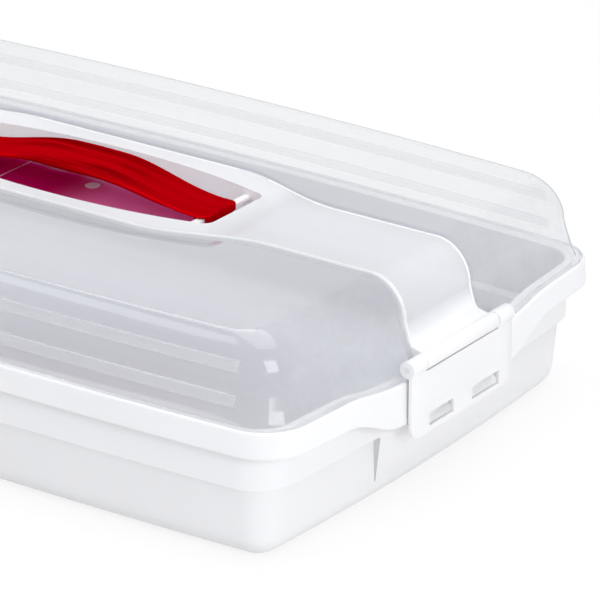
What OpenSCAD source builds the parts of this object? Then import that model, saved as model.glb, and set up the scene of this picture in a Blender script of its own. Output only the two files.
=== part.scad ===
// Cake carrier: a white tub with a rolled rim, a clear dome, a milky carry
// band over the dome with a red handle, and a hinged clip at each end.
// X runs along the length from clip to clip, Y across, Z up; the origin is
// the middle of the flat underside. The front clip is at +X. The dome tilts
// on the pin of the rear clip, which stays hooked under the rim.

/* [Tray] */
// Length over the rim, measured on the centre line
rim_l = 452; // [420:1:500]
// Width over the rim, measured on the centre line
rim_w = 295; // [270:1:330]
// Height of the rim above the table
rim_z = 71.7; // [64:0.1:84]
// Height of the rim's outer skirt
skirt_h = 13.4; // [10:0.1:18]
// Corner radius of the rim
rim_r = 26; // [20:0.5:34]
// Outward bow of the short ends
bow_x = 4.5; // [1:0.1:7]
// Outward bow of the long sides
bow_y = 6; // [1:0.1:9]
// Thickness of the tray's walls and floor
tray_wall = 2; // [1.6:0.1:2.6]
// Overhang of the rim past the upper wall, at the short ends
over_x = 10.5; // [8:0.1:13]
// Overhang of the rim past the upper wall, at the long sides
over_y = 6; // [5.6:0.1:9]
// Height of the ledge line round the tub
ledge_z = 38; // [30:0.5:44]
// Step of the wall at the ledge
ledge_step = 3.6; // [2:0.1:5]
// Inward lean of the tub's lower wall from the ledge to the floor
tub_lean = 2.4; // [1:0.1:4]
// Radius where the wall meets the floor
foot_r = 12; // [8:0.5:14]
// Half width of the flat panel on each short end
panel_half = 50; // [46:0.5:54]

/* [Rim dip at the clips] */
// Depth of the dip in the rim's top
dip_top = 4.7; // [3:0.1:6]
// Depth of the dip in the skirt's lower edge
dip_low = 13; // [10:0.1:15]
// Half width of the dip's flat middle
dip_flat = 45; // [44.5:0.5:50]
// Half width where the dip has run out
dip_end = 88; // [80:0.5:96]
// Width of the raised lip round the rim's top
lip_w = 2; // [1.6:0.1:3]
// Depth of the seat inside that lip
seat_d = 1.7; // [1.2:0.1:2.5]

/* [Lid] */
// Length of the dome at its foot
lid_l = 441; // [410:1:486]
// Width of the dome at its foot
lid_w = 284; // [262:1:316]
// Height of the dome's flat top above the table
lid_top = 112.3; // [108:0.1:140]
// Thickness of the dome
lid_wall = 1.8; // [1.4:0.1:2.4]
// Inward lean of the dome's walls, as run over rise
lid_lean = 0.3; // [0.1:0.01:0.34]
// Corner radius of the dome at its foot
lid_r = 22; // [16:0.5:28]
// Height of the rounding along the dome's top edge
round_z = 22; // [16:0.5:26]
// Run of that rounding at the short ends
round_x = 21; // [14:0.5:26]
// Run of that rounding at the long sides
round_y = 9; // [6:0.5:14]
// Width of the foot flange
flange_w = 3; // [2:0.1:3]
// Height of the two ribs along each long wall
rib_h = 6; // [4:0.1:8]
// Height of the lower rib's middle
rib_low_z = 82; // [79:0.5:84]
// Height of the upper rib's middle
rib_high_z = 98; // [95:0.5:99]
// How far the ribs stand proud
rib_out = 0.9; // [0.4:0.1:1.4]

/* [Carry band] */
// Half width of the band over the ends
band_half = 29; // [24:0.5:30]
// Half width of the band round the handle
band_bulge = 45.5; // [43:0.5:50]
// Thickness of the band
band_t = 2; // [1.6:0.1:2.6]
// How far the band's face lies below the dome's face
band_sunk = 1.9; // [1:0.1:2.4]
// Half length of the grip opening
well_a = 95; // [92:0.5:98]
// Half width of the grip opening
well_b = 38; // [34:0.5:40]
// Depth of the grip's floor below the band
well_d = 9.4; // [9.2:0.1:12]

/* [Handle] */
// Length of the handle from tip to tip
grip_l = 181; // [176:0.5:184]
// Rise of the grip's top above the band
grip_rise = 8; // [6:0.1:14]
// Thickness of the grip
grip_t = 3.2; // [2.6:0.1:4]
// Half width of the grip in its middle
grip_half = 17.5; // [15:0.5:22]
// Half width of the grip at its waists
waist_half = 14; // [11:0.5:15]
// How far the handle lifts before its hooks meet the bars
grip_lift = 1.5; // [0.8:0.1:2]

/* [Clips] */
// Width of a clip
clip_w = 87; // [82:0.5:88]
// Thickness of a clip's flap
clip_t = 1.8; // [1.4:0.1:2.4]
// Height of a clip's lower edge above the table
clip_low_z = 37; // [34:0.5:38]
// Radius of the knuckles
knuckle_r = 4.2; // [3.4:0.1:4.6]
// Height of the pin's axis above the table
pin_z = 73.5; // [73:0.1:76]
// Diameter of the pin
pin_d = 3.2; // [2.6:0.1:4]
// Reach of the hooks under the skirt
hook_reach = 3.2; // [2.4:0.1:4]

/* [Clearances] */
// Gap between pieces that move past each other
run_gap = 0.4; // [0.3:0.05:0.6]
// Gap between pieces that rest on each other
rest_gap = 0.3; // [0.2:0.05:0.5]
// Radial play of a pin in the band's knuckle
pin_play = 0.05; // [0.02:0.01:0.1]
// Radial play of a pin in the clip's knuckles
pin_grip = 0.01; // [0.01:0.01:0.02]
// Least distance of a pin's axis out from the dome's foot
pin_out = 5; // [4.9:0.1:7]

/* [Hidden] */
big = 400;

// Places of the tray's walls
skirt_low = rim_z - skirt_h;
upper_l = rim_l - 2 * over_x;
upper_w = rim_w - 2 * over_y;
lower_l = upper_l - 2 * ledge_step;
lower_w = upper_w - 2 * ledge_step;
seat_z = rim_z - seat_d;

// Places of the dome
foot_z = seat_z + rest_gap;
flange_top = foot_z + lid_wall;
band_top = lid_top - band_sunk;
floor_z = band_top - well_d;
keeper_t = 1.8;

// Places of the hinge
skirt_x = rim_l / 2;
pin_x = max(skirt_x - 0.5, lid_l / 2 + pin_out);
flap_in = pin_x + 0.5 + run_gap;
hook_in = skirt_x + run_gap - hook_reach;
ear_in = band_half + 2;

// Sampling of the outlines
end_ys = [0, 20, 38, dip_flat, panel_half - 1, panel_half + 1, 58, 65, 72, 79, dip_end, 100];
side_ts = [0, 0.35, 0.65, 0.85, 0.94, 0.97, 1];
corner_n = 5;

// Values from -last to last, through zero once
function both_ways(v) =
    concat([for (i = [len(v) - 1:-1:1]) -v[i]], v);

// 1 in the flat middle, 0 past the end, a smooth wave between
function wave(y, flat_half, end_half) =
    abs(y) <= flat_half ? 1
    : abs(y) >= end_half ? 0
    : (1 + cos(180 * (abs(y) - flat_half) / (end_half - flat_half))) / 2;

function arc(cx, cy, r, a0, a1, n) =
    [for (i = [1:n - 1]) let (a = a0 + (a1 - a0) * i / n) [cx + r * cos(a), cy + r * sin(a)]];

// Rounded rectangle with bowed sides. panel pushes the middle of the short
// ends out, rib pushes the long sides out except at their ends.
function outline(l, w, r, panel = 0, rib = 0) =
    let (hx = l / 2,
         hy = w / 2,
         a = atan(2 * bow_x / (hy - bow_y - r)),
         b = atan(2 * bow_y / (hx - bow_x - r)),
         ccx = hx - bow_x - r * cos(a),
         ccy = hy - bow_y - r * cos(b),
         ey = ccy + r * sin(a),
         ex = ccx + r * sin(b),
         ys = both_ways(concat(end_ys, [ey])),
         ts = both_ways(side_ts),
         end_x = [for (y = ys) hx - bow_x * pow(y / ey, 2) + (abs(y) < panel_half ? panel : 0)],
         side_y = [for (t = ts) hy - bow_y * t * t + (abs(t) < 0.96 ? rib : 0)],
         ne = len(ys) - 1,
         ns = len(ts) - 1)
    concat([for (i = [0:ne]) [end_x[i], ys[i]]],
           arc(ccx, ccy, r, a, 90 - b, corner_n),
           [for (i = [0:ns]) [-ts[i] * ex, side_y[i]]],
           arc(-ccx, ccy, r, 90 + b, 180 - a, corner_n),
           [for (i = [0:ne]) [-end_x[i], -ys[i]]],
           arc(-ccx, -ccy, r, 180 + a, 270 - b, corner_n),
           [for (i = [0:ns]) [ts[i] * ex, -side_y[i]]],
           arc(ccx, -ccy, r, 270 + b, 360 - a, corner_n));

// The outline at height z, drawn in by inset, with the dip of the short ends
function ring(l, w, r, inset, z, dip = 0, panel = 0, rib = 0) =
    [for (p = outline(l - 2 * inset, w - 2 * inset, max(r - inset, 2), panel, rib))
        [p[0], p[1], z - (abs(p[0]) > l / 4 ? dip * wave(p[1], dip_flat, dip_end) : 0)]];

// Closed skin through a stack of rings, with a fan over the first and last
module loft(rings) {
    n = len(rings[0]);
    m = len(rings);
    z0 = max([for (p = rings[0]) p[2]]);
    z1 = max([for (p = rings[m - 1]) p[2]]);
    points = concat([for (g = rings) for (p = g) p], [[0, 0, z0], [0, 0, z1]]);
    sides = [for (k = [0:m - 2])
        for (i = [0:n - 1])
            let (j = (i + 1) % n, a = k * n, b = a + n)
            each [[a + i, b + i, b + j], [a + i, b + j, a + j]]];
    first = [for (i = [0:n - 1]) [m * n, i, (i + 1) % n]];
    last = [for (i = [0:n - 1]) let (a = (m - 1) * n) [m * n + 1, a + (i + 1) % n, a + i]];
    polyhedron(points, concat(sides, first, last), convexity = 6);
}

// Rings of the tub from the underside, up the outside, over the rim and down inside
function tub(l, w, r, inset, z, panel = 0) = ring(l, w, r, inset, z, 0, panel);
inner_foot_r = foot_r - tray_wall;
tub_r = rim_r - over_y - ledge_step;
upper_r = rim_r - over_y;
under_z = seat_z - tray_wall;
foot_turns = [90, 67, 45, 22, 0];

module base_tray() {
    color("white")
    loft(concat(
        [for (t = foot_turns)
            tub(lower_l, lower_w, tub_r, tub_lean + foot_r * (1 - cos(t)), foot_r * (1 - sin(t)))],
        [tub(lower_l, lower_w, tub_r, 0, ledge_z - 0.6, ledge_step - 0.6),
         tub(lower_l, lower_w, tub_r, -ledge_step, ledge_z + 0.6, 0),
         ring(upper_l, upper_w, upper_r, -0.6, under_z, dip_top),
         ring(rim_l, rim_w, rim_r, tray_wall, under_z, dip_top),
         ring(rim_l, rim_w, rim_r, tray_wall, skirt_low, dip_low),
         ring(rim_l, rim_w, rim_r, 0, skirt_low, dip_low),
         ring(rim_l, rim_w, rim_r, 0, rim_z - 2, dip_top),
         ring(rim_l, rim_w, rim_r, 0.8, rim_z, dip_top),
         ring(rim_l, rim_w, rim_r, lip_w, rim_z, dip_top),
         ring(rim_l, rim_w, rim_r, lip_w, seat_z, dip_top),
         ring(upper_l, upper_w, upper_r, tray_wall - 0.6, seat_z, dip_top),
         tub(lower_l, lower_w, tub_r, tray_wall - ledge_step, ledge_z + 0.6, 0),
         tub(lower_l, lower_w, tub_r, tray_wall, ledge_z - 0.6, ledge_step - 0.6)],
        [for (i = [len(foot_turns) - 1:-1:0])
            let (t = foot_turns[i])
            tub(lower_l, lower_w, tub_r, tub_lean + tray_wall + inner_foot_r * (1 - cos(t)),
                tray_wall + inner_foot_r * (1 - sin(t)))]));
}

// How far the dome's skin is drawn in at height z, along X or Y
crown_z = lid_top - round_z;
function lean_at(z) = lid_lean * (min(z, crown_z) - flange_top);
function turn_at(z) = z <= crown_z ? 0 : asin(min((z - crown_z) / round_z, 1));

// Outline of the dome at height z, all drawn in by wall
function dome_ring(z, wall = 0, rib = 0, dip = 0, sink = 0) =
    let (d = lean_at(z) + wall,
         k = 1 - cos(turn_at(z)),
         r = max(lid_r - d - 0.4 * round_y * k, 3))
    [for (p = outline(lid_l - 2 * (d + round_x * k), lid_w - 2 * (d + round_y * k), r, 0, rib))
        [p[0], p[1], z - sink - dip * wave(p[1], dip_flat, dip_end) * (abs(p[0]) > lid_l / 4 ? 1 : 0)]];

function rib_rings(z) =
    [dome_ring(z - rib_h / 2 - 0.5), dome_ring(z - rib_h / 2 + 0.5, 0, rib_out),
     dome_ring(z + rib_h / 2 - 0.5, 0, rib_out), dome_ring(z + rib_h / 2 + 0.5)];

module dome_outside() {
    loft(concat(
        [ring(lid_l, lid_w, lid_r, -flange_w, foot_z, dip_top),
         ring(lid_l, lid_w, lid_r, -flange_w, flange_top, dip_top),
         ring(lid_l, lid_w, lid_r, 0, flange_top, dip_top)],
        rib_rings(rib_low_z),
        [dome_ring(crown_z)],
        rib_rings(rib_high_z),
        [for (t = [42, 56, 72, 90]) dome_ring(crown_z + round_z * sin(t))]));
}

module dome_inside() {
    loft(concat(
        [ring(lid_l, lid_w, lid_r, lid_wall, foot_z - 10, 0),
         dome_ring(crown_z, lid_wall)],
        [for (t = [20, 38, 56, 72, 90])
            dome_ring(crown_z + round_z * sin(t), lid_wall, 0, 0, lid_wall * sin(t))]));
}

// Half width of the band at a place along it
function band_half_at(x) =
    band_half + (band_bulge - band_half) * wave(x, 64, 136);

// Plan of the band, widened by grow
band_xs = [0, 30, 50, 64, 74, 84, 92, 100, 108, 116, 124, 136, big];
module band_plan(grow = 0) {
    polygon(concat([for (x = both_ways(band_xs)) [x, band_half_at(x) + grow]],
                   [for (x = both_ways(band_xs)) [-x, -band_half_at(x) - grow]]));
}

// Side view of the dome's skin sunk by drop: half of it, from the middle out
function skin_path(drop) =
    concat([for (t = [90, 80, 70, 60, 50, 40, 30, 20, 10, 0])
            let (r = round_x - drop)
            [lid_l / 2 - lean_at(crown_z) - round_x + r * cos(t),
             crown_z + (round_z - drop) * sin(t)]],
           [[lid_l / 2 - drop, flange_top]]);

// Solid under that skin, down to the height low, as deep as the big block in Y
module under_skin(drop, low) {
    path = [for (p = skin_path(drop)) if (p[1] > low) p];
    last = path[len(path) - 1];
    side = concat(path, [[last[0] + lid_lean * (last[1] - low), low]]);
    n = len(side);
    rotate([90, 0, 0])
    linear_extrude(height = 2 * big, center = true)
    polygon(concat(side, [for (i = [n - 1:-1:0]) [-side[i][0], side[i][1]]]));
}

// Space that the band takes out of the dome: outside the sunk skin, inside the plan
module band_space(drop, grow, low) {
    intersection() {
        translate([0, 0, low])
        linear_extrude(height = big)
        band_plan(grow);
        difference() {
            translate([-big, -big, low - 1])
            cube([2 * big, 2 * big, big]);
            under_skin(drop, low - 2);
        }
    }
}

module oval(a, b, h) {
    linear_extrude(height = h)
    polygon([for (i = [0:71]) [a * cos(5 * i), b * sin(5 * i)]]);
}

band_drop = band_sunk + band_t;
band_low = flange_top - dip_top + 1;

module lid_dome() {
    color([0.85, 0.9, 0.92, 0.35])
    difference() {
        difference() {
            dome_outside();
            band_space(band_drop, run_gap, band_low);
            translate([0, 0, floor_z - keeper_t])
            oval(well_a + 3, well_b + 3, big);
        }
        difference() {
            dome_inside();
            band_space(band_drop + lid_wall, run_gap + lid_wall, band_low - 2 * lid_wall);
            translate([0, 0, floor_z - keeper_t - lid_wall])
            oval(well_a + 3 + lid_wall, well_b + 3 + lid_wall, big);
        }
    }
}

// Bars across the ends of the grip opening, which the handle's feet clip round
bar_x = 82;
bar_w = 4.4;
bar_top = band_top - 3.6;
bar_t = 2;
skirt_t = 2;

// Inner face of the band's end at height z
function root_at(z) = lid_l / 2 - band_drop - lid_lean * (z - flange_top);

// Knuckle of the band at one end, as a side view
module band_knuckle() {
    rotate([90, 0, 0])
    linear_extrude(height = 2 * band_half, center = true)
    polygon([[root_at(pin_z - 4), pin_z - 4], [root_at(pin_z + 8), pin_z + 8],
             [root_at(pin_z + 8) + band_t, pin_z + 8], [root_at(pin_z + 5) + band_t + 1.2, pin_z + 5],
             [pin_x - 2, pin_z + knuckle_r - 0.4], [pin_x, pin_z + knuckle_r - 0.2],
             [pin_x, pin_z - knuckle_r + 0.2]]);
    translate([pin_x, 0, pin_z])
    rotate([90, 0, 0])
    cylinder(h = 2 * (ear_in - run_gap), r = knuckle_r, center = true, $fn = 48);
}

module pin_bore(play) {
    translate([pin_x, 0, pin_z])
    rotate([90, 0, 0])
    cylinder(h = clip_w + 2, d = pin_d + 2 * play, center = true, $fn = 48);
}

module carry_band() {
    color([0.95, 0.95, 0.97, 0.8])
    difference() {
        union() {
            intersection() {
                translate([0, 0, pin_z - 3])
                linear_extrude(height = big)
                band_plan();
                difference() {
                    under_skin(band_sunk, pin_z - 3);
                    under_skin(band_drop, pin_z - 4);
                }
            }
            translate([0, 0, floor_z])
            oval(well_a + skirt_t, well_b + skirt_t, band_top - floor_z - band_t / 2);
            for (s = [0, 180])
                rotate([0, 0, s])
                band_knuckle();
        }
        difference() {
            translate([0, 0, floor_z - 1])
            oval(well_a, well_b, big);
            for (s = [-1, 1])
                translate([s * bar_x - bar_w / 2, -well_b, bar_top - bar_t])
                cube([bar_w, 2 * well_b, bar_t]);
        }
        for (s = [0, 180])
            rotate([0, 0, s])
            pin_bore(pin_play);
    }
}

module handle_keeper() {
    color([0.6, 0.05, 0.3])
    union() {
        translate([0, 0, floor_z - keeper_t])
        oval(well_a + skirt_t, well_b + skirt_t, keeper_t);
        translate([0, 0, floor_z - 0.2])
        cylinder(h = 0.7, r = 4, $fn = 48);
    }
}

// Side view of the grip's top: height above the band at a place along it
foot_top = band_top - 1.2;
function grip_z(x) =
    foot_top + (grip_rise + 1.2) * wave(x, 0, 74) + 0.9 * pow(max(abs(x) - 76, 0) / 14, 2);

// Half width of the grip at a place along it
function grip_half_at(x) =
    let (tip = grip_l / 2 - 13)
    abs(x) > tip ? waist_half * sqrt(max(1 - pow((abs(x) - tip) / 13, 2), 0))
    : waist_half + (grip_half - waist_half) * wave(x, 0, 66);

grip_xs = [0, 8, 16, 24, 32, 40, 48, 56, 64, 70, 76, 80, 84, 87, 89];
tip_xs = concat(grip_xs, [grip_l / 2 - 0.1]);

module carry_handle() {
    tongue_t = foot_top - (bar_top + rest_gap);
    neck_x = bar_x - bar_w / 2 - run_gap;
    hook_top = bar_top - bar_t - rest_gap - grip_lift;
    thin = function (x) tongue_t + (grip_t - tongue_t) * wave(x, 50, 72);
    color([0.78, 0, 0.04])
    intersection() {
        translate([0, 0, floor_z])
        linear_extrude(height = big)
        polygon(concat([for (x = both_ways(tip_xs)) [x, grip_half_at(x)]],
                       [for (x = both_ways(tip_xs)) [-x, -grip_half_at(x)]]));
        union() {
            rotate([90, 0, 0])
            linear_extrude(height = big, center = true)
            polygon(concat([for (x = both_ways(tip_xs)) [x, grip_z(x)]],
                           [for (x = both_ways(tip_xs)) [-x, grip_z(x) - thin(x)]]));
            for (s = [0, 180])
                rotate([0, 0, s])
                rotate([90, 0, 0])
                linear_extrude(height = big, center = true)
                polygon([[neck_x - 2, foot_top - 1], [neck_x, foot_top - 1], [neck_x, hook_top],
                         [bar_x + bar_w / 2, hook_top], [bar_x + bar_w / 2, floor_z + rest_gap],
                         [neck_x - 2, floor_z + rest_gap]]);
        }
    }
}

hook_z = skirt_low - dip_low - rest_gap;

// One clip, at the +X end
module clip() {
    difference() {
        union() {
            // Flap below the band's knuckle
            rotate([90, 0, 90])
            translate([0, 0, flap_in])
            linear_extrude(height = clip_t)
            polygon([[-clip_w / 2, pin_z], [-clip_w / 2, clip_low_z + 5],
                     [-clip_w / 2 + 1.5, clip_low_z + 1.5], [-clip_w / 2 + 5, clip_low_z],
                     [clip_w / 2 - 5, clip_low_z], [clip_w / 2 - 1.5, clip_low_z + 1.5],
                     [clip_w / 2, clip_low_z + 5], [clip_w / 2, pin_z]]);
            // Ears
            for (s = [-1, 1])
                translate([pin_x, s * (clip_w / 2 + ear_in) / 2, pin_z])
                rotate([90, 0, 0])
                cylinder(h = clip_w / 2 - ear_in, r = knuckle_r, center = true, $fn = 48);
            // Hooks under the skirt, one in the middle and one to each side
            for (y = [[-6, 6], [-42, -34], [34, 42]])
                translate([0, y[1], 0])
                rotate([90, 0, 0])
                linear_extrude(height = y[1] - y[0])
                polygon([[hook_in, hook_z], [flap_in + 0.5, hook_z],
                         [flap_in + 0.5, hook_z - 4], [hook_in, hook_z - 1.4]]);
        }
        // Room for the band's knuckle
        translate([pin_x, 0, pin_z])
        rotate([90, 0, 0])
        cylinder(h = 2 * ear_in, r = knuckle_r + run_gap, center = true, $fn = 48);
        translate([flap_in - 1, -ear_in, pin_z - knuckle_r])
        cube([clip_t + 2, 2 * ear_in, 3 * knuckle_r]);
        // Windows beside the middle hook
        for (s = [-1, 1])
            translate([flap_in - 1, s * 20 - 13, clip_low_z + 2])
            cube([clip_t + 2, 26, hook_z - clip_low_z - 2.4]);
        pin_bore(pin_grip);
    }
}

module hinge_pin() {
    translate([pin_x, 0, pin_z])
    rotate([90, 0, 0])
    cylinder(h = clip_w, d = pin_d, center = true, $fn = 48);
}

module front_clip() {
    color([0.94, 0.95, 0.96, 0.8])
    clip();
}

module front_hinge_pin() {
    color("white")
    hinge_pin();
}

module rear_clip() {
    color([0.94, 0.95, 0.96, 0.8])
    rotate([0, 0, 180])
    clip();
}

module rear_hinge_pin() {
    color("white")
    rotate([0, 0, 180])
    hinge_pin();
}

base_tray();
lid_dome();
carry_band();
handle_keeper();
carry_handle();
front_clip();
front_hinge_pin();
rear_clip();
rear_hinge_pin();
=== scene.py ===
from math import asin, atan, cos, pi, radians, sin, sqrt

import bmesh
import bpy
from mathutils import Matrix, Vector


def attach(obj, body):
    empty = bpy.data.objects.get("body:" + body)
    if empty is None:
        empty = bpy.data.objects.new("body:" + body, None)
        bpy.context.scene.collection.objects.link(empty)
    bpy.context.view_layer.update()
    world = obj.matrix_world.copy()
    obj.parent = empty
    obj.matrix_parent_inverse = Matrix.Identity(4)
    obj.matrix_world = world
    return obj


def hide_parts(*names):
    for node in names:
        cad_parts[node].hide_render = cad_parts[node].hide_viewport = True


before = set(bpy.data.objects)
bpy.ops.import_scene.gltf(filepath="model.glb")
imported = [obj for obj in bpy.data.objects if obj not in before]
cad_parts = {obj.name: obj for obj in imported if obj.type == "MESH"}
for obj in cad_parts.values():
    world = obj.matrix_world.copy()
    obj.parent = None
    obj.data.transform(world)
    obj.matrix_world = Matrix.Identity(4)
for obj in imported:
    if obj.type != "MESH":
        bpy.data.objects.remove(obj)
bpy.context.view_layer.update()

# Sizes in millimetres. X runs from clip to clip, Z is up. These are the same as in part.scad.
MM = 0.001
RIM_L, RIM_W, RIM_Z, SKIRT_H, RIM_R = 452, 295, 71.7, 13.4, 26
BOW_X, BOW_Y = 4.5, 6
TRAY_WALL, OVER_X, OVER_Y = 2, 10.5, 6
LEDGE_Z, LEDGE_STEP, TUB_LEAN, FOOT_R = 38, 3.6, 2.4, 12
PANEL_HALF = 50
DIP_TOP, DIP_LOW, DIP_FLAT, DIP_END = 4.7, 13, 45, 88
SEAT_D = 1.7
LID_L, LID_W, LID_TOP, LID_WALL = 441, 284, 112.3, 1.8
LID_LEAN, LID_R = 0.3, 22
ROUND_Z, ROUND_X, ROUND_Y = 22, 21, 9
FLANGE_W, RIB_H, RIB_LOW_Z, RIB_HIGH_Z, RIB_OUT = 3, 6, 82, 98, 0.9
BAND_HALF, BAND_BULGE, BAND_T, BAND_SUNK = 29, 45.5, 2, 1.9
WELL_A, WELL_D, KEEPER_T = 95, 9.4, 1.8
GRIP_T, GRIP_HALF, WAIST_HALF, GRIP_LIFT = 3.2, 17.5, 14, 1.5
CLIP_W, CLIP_T, CLIP_LOW_Z, KNUCKLE_R = 87, 1.8, 37, 4.2
PIN_Z, PIN_D, HOOK_REACH = 73.5, 3.2, 3.2
RUN_GAP, REST_GAP = 0.4, 0.3
PIN_PLAY, PIN_GRIP = 0.05, 0.01

# Sizes that part.scad has no name for, or that are finer here: how much the end panel narrows downwards, the
# bowed grip opening, the grip and its arch, the band's beads and its bulge, the clip's corners and spans
PANEL_PINCH = 4.7
WELL_B, WELL_RUN, WELL_R = 35, 30, 6
GRIP_L, TIP_R, LIP_DROP = 174, 6, 4
ARCH_RISE, ARCH_FLAT, ARCH_END = 9.2, 14, 82
TIP_RISE, TIP_RISE_FROM, TIP_RISE_RUN = 0.9, 76, 14
WAIST_AT = 66
BEAD_W, BEAD_H = 2.6, 0.7
BULGE_FLAT, BULGE_END = 64, 136
CLIP_R = 7
HOOK_SPANS = ((-6, 6), (-42, -34), (34, 42))
WINDOW_SPANS = ((-28, -7), (9, 33))

SKIRT_LOW = RIM_Z - SKIRT_H
UPPER_L, UPPER_W = RIM_L - 2 * OVER_X, RIM_W - 2 * OVER_Y
LOWER_L, LOWER_W = UPPER_L - 2 * LEDGE_STEP, UPPER_W - 2 * LEDGE_STEP
SEAT_Z = RIM_Z - SEAT_D
UNDER_Z = SEAT_Z - TRAY_WALL
FOOT_Z = SEAT_Z + REST_GAP
FLANGE_TOP = FOOT_Z + LID_WALL
BAND_TOP = LID_TOP - BAND_SUNK
BAND_DROP = BAND_SUNK + BAND_T
FLOOR_Z = BAND_TOP - WELL_D
SKIRT_X = RIM_L / 2
PIN_X = SKIRT_X - 0.5
FLAP_IN = SKIRT_X + RUN_GAP
EAR_IN = BAND_HALF + 2
CROWN_Z = LID_TOP - ROUND_Z
BAND_LOW = FLANGE_TOP - DIP_TOP + 1
BAR_X, BAR_W, BAR_T, SKIRT_T = 82, 4.4, 2, 2
BAR_TOP = BAND_TOP - 3.6
FOOT_TOP = BAND_TOP - 1.2
HOOK_Z = SKIRT_LOW - DIP_LOW - REST_GAP
BIG = 400


def both_ways(values):
    """Values from 0 up, with their negatives before them."""
    return [-v for v in reversed(values[1:])] + list(values)


def wave(y, flat_half, end_half):
    """1 in the flat middle, 0 past the end, a smooth wave between."""
    a = abs(y)
    if a <= flat_half:
        return 1.0
    if a >= end_half:
        return 0.0
    return (1 + cos(pi * (a - flat_half) / (end_half - flat_half))) / 2


def spread(start, end, count):
    """Even steps from start to end, both included."""
    return [start + (end - start) * i / count for i in range(count + 1)]


def arc(cx, cy, r, a0, a1, n):
    """The points of an arc without its two ends."""
    turns = [a0 + (a1 - a0) * i / n for i in range(1, n)]
    return [(cx + r * cos(t), cy + r * sin(t)) for t in turns]


# Where the outlines have points: close together at the panel's edges and where the ribs run out
PANEL_EDGE = (49.7, 49.9, 50.1, 50.3)
PANEL_SOFT = 0.3
END_YS = spread(0, 42, 9) + list(PANEL_EDGE) + spread(53, 100, 16)
SIDE_TS = spread(0, 0.84, 14) + [0.87, 0.9, 0.925, 0.94, 0.952, 0.962, 0.97, 0.976, 0.982, 0.988, 0.994, 1]
RIB_FULL_TO, RIB_GONE_AT = 0.962, 0.994
CORNER_N = 16


def outline(l, w, r, panel=0.0, rib=0.0, pinch=0.0):
    """Rounded rectangle with bowed sides, a raised panel on its short ends and ribbed long sides."""
    hx, hy = l / 2, w / 2
    a = atan(2 * BOW_X / (hy - BOW_Y - r))
    b = atan(2 * BOW_Y / (hx - BOW_X - r))
    ccx, ccy = hx - BOW_X - r * cos(a), hy - BOW_Y - r * cos(b)
    ey, ex = ccy + r * sin(a), ccx + r * sin(b)
    ys = both_ways([y - pinch if y in PANEL_EDGE else y for y in END_YS] + [ey])
    ts = both_ways(SIDE_TS)
    edge = PANEL_HALF - pinch

    def end_x(y):
        return hx - BOW_X * (y / ey) ** 2 + panel * wave(y, edge - PANEL_SOFT, edge + PANEL_SOFT)

    def side_y(t):
        return hy - BOW_Y * t * t + rib * sqrt(wave(t, RIB_FULL_TO, RIB_GONE_AT))

    return ([(end_x(y), y) for y in ys] + arc(ccx, ccy, r, a, pi / 2 - b, CORNER_N)
            + [(-t * ex, side_y(t)) for t in ts] + arc(-ccx, ccy, r, pi / 2 + b, pi - a, CORNER_N)
            + [(-end_x(y), -y) for y in ys] + arc(-ccx, -ccy, r, pi + a, 1.5 * pi - b, CORNER_N)
            + [(t * ex, -side_y(t)) for t in ts] + arc(ccx, -ccy, r, 1.5 * pi + b, 2 * pi - a, CORNER_N))


def ring(l, w, r, inset, z, dip=0.0, panel=0.0, pinch=0.0):
    """The outline at height z, drawn in by inset, with the dip of the short ends."""
    points = outline(l - 2 * inset, w - 2 * inset, max(r - inset, 2), panel, 0.0, pinch)
    return [(x, y, z - (dip * wave(y, DIP_FLAT, DIP_END) if abs(x) > l / 4 else 0)) for x, y in points]


def new_object(name, vertices, faces):
    mesh = bpy.data.meshes.new(name)
    mesh.from_pydata([(x * MM, y * MM, z * MM) for x, y, z in vertices], [], faces)
    bm = bmesh.new()
    bm.from_mesh(mesh)
    bmesh.ops.remove_doubles(bm, verts=bm.verts, dist=1e-7)
    bmesh.ops.recalc_face_normals(bm, faces=bm.faces)
    bm.to_mesh(mesh)
    bm.free()
    made = bpy.data.objects.new(name, mesh)
    bpy.context.scene.collection.objects.link(made)
    return made


def loft(name, rings):
    """Closed skin through a stack of rings, with a fan over the first and the last."""
    n, m = len(rings[0]), len(rings)
    vertices = [p for g in rings for p in g]
    vertices += [(0, 0, max(p[2] for p in rings[0])), (0, 0, max(p[2] for p in rings[-1]))]
    faces = []
    for k in range(m - 1):
        for i in range(n):
            j = (i + 1) % n
            faces.append((k * n + i, k * n + n + i, k * n + n + j, k * n + j))
    last = (m - 1) * n
    for i in range(n):
        j = (i + 1) % n
        faces.append((m * n, i, j))
        faces.append((m * n + 1, last + j, last + i))
    return new_object(name, vertices, faces)


def strip(name, rows):
    """Closed skin through a row of sections, with a flat face at either end."""
    n, m = len(rows[0]), len(rows)
    vertices = [p for row in rows for p in row]
    faces = [(k * n + i, k * n + (i + 1) % n, k * n + n + (i + 1) % n, k * n + n + i)
             for k in range(m - 1) for i in range(n)]
    faces += [tuple(range(n)), tuple((m - 1) * n + i for i in range(n - 1, -1, -1))]
    return new_object(name, vertices, faces)


def prism(name, side, z0, z1):
    """A flat closed outline pulled straight up from z0 to z1."""
    n = len(side)
    vertices = [(x, y, z0) for x, y in side] + [(x, y, z1) for x, y in side]
    faces = [tuple(range(n - 1, -1, -1)), tuple(range(n, 2 * n))]
    faces += [(i, (i + 1) % n, n + (i + 1) % n, n + i) for i in range(n)]
    return new_object(name, vertices, faces)


def side_prism(name, side, y0, y1):
    """An outline in X and Z pulled along Y."""
    n = len(side)
    vertices = [(x, y0, z) for x, z in side] + [(x, y1, z) for x, z in side]
    faces = [tuple(range(n)), tuple(range(2 * n - 1, n - 1, -1))]
    faces += [(i, n + i, n + (i + 1) % n, (i + 1) % n) for i in range(n)]
    return new_object(name, vertices, faces)


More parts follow.
